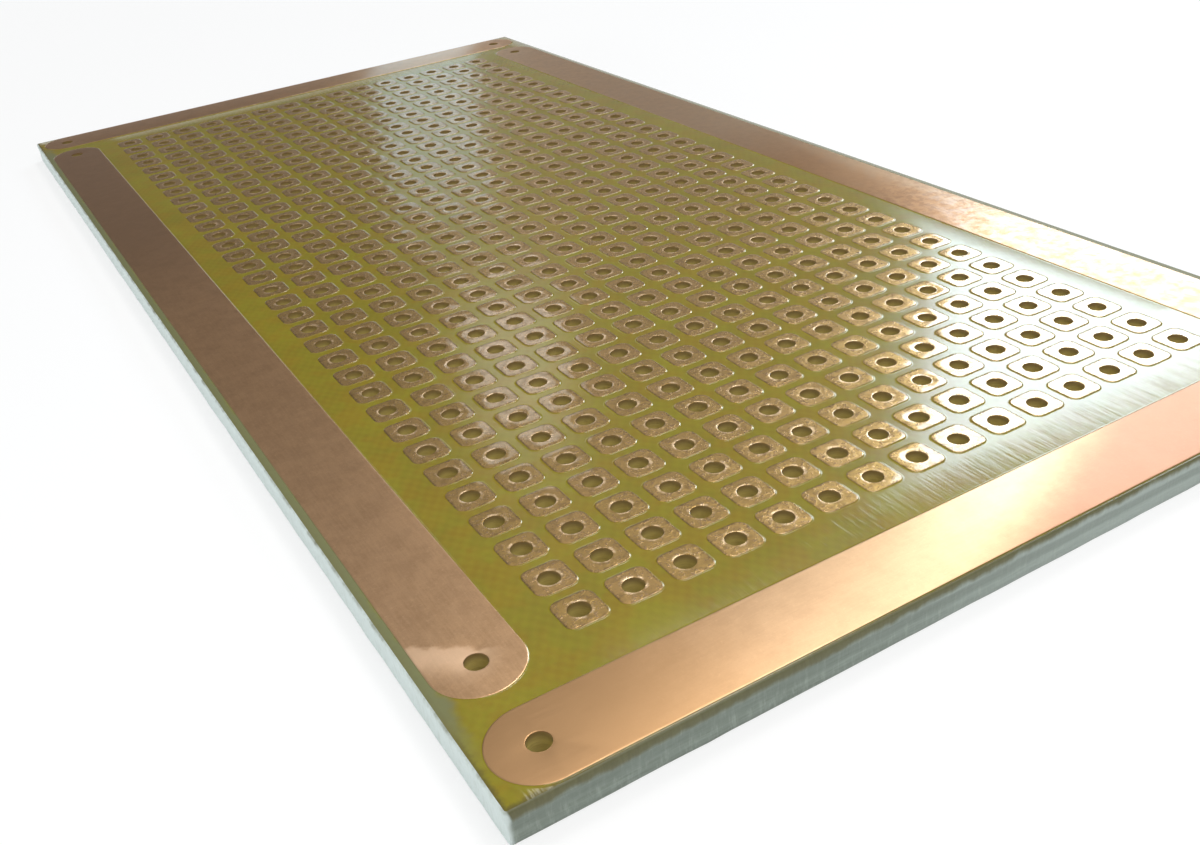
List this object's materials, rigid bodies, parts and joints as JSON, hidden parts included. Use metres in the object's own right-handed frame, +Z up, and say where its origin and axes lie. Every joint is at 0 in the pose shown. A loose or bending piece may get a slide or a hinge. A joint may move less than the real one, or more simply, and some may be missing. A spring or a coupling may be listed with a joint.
{
  "type": "prototype board",
  "caption": "Bare single-sided prototype board: a drilled fibreglass sheet with a square copper pad round each hole, framed by four wide copper supply rails.",
  "frame": {"origin": "centre of the underside of the board, on the surface that the board lies on", "axes": "+X across the board to the right, +Y along it to the far end, +Z up from the bare underside to the copper"},
  "size_m": [0.05, 0.099, 0.0016],
  "materials": {
    "laminate": "uncoloured yellow-green glass-epoxy sheet under clear gloss lacquer, bare underside",
    "copper": "etched copper foil, dull and a little mottled, under the same clear lacquer"
  },
  "bodies": {
    "root": {"laminate": "laminate", "end_rail_near": "copper", "end_rail_far": "copper", "side_rail_left": "copper", "side_rail_right": "copper", "pad_row_01": "copper", "pad_row_02": "copper", "pad_row_03": "copper", "pad_row_04": "copper", "pad_row_05": "copper", "pad_row_06": "copper", "pad_row_07": "copper", "pad_row_08": "copper", "pad_row_09": "copper", "pad_row_10": "copper", "pad_row_11": "copper", "pad_row_12": "copper", "pad_row_13": "copper", "pad_row_14": "copper", "pad_row_15": "copper", "pad_row_16": "copper", "pad_row_17": "copper", "pad_row_18": "copper", "pad_row_19": "copper", "pad_row_20": "copper", "pad_row_21": "copper", "pad_row_22": "copper", "pad_row_23": "copper", "pad_row_24": "copper", "pad_row_25": "copper", "pad_row_26": "copper", "pad_row_27": "copper", "pad_row_28": "copper", "pad_row_29": "copper", "pad_row_30": "copper", "pad_row_31": "copper", "pad_row_32": "copper", "pad_row_33": "copper", "pad_row_34": "copper"}
  },
  "joints": []
}
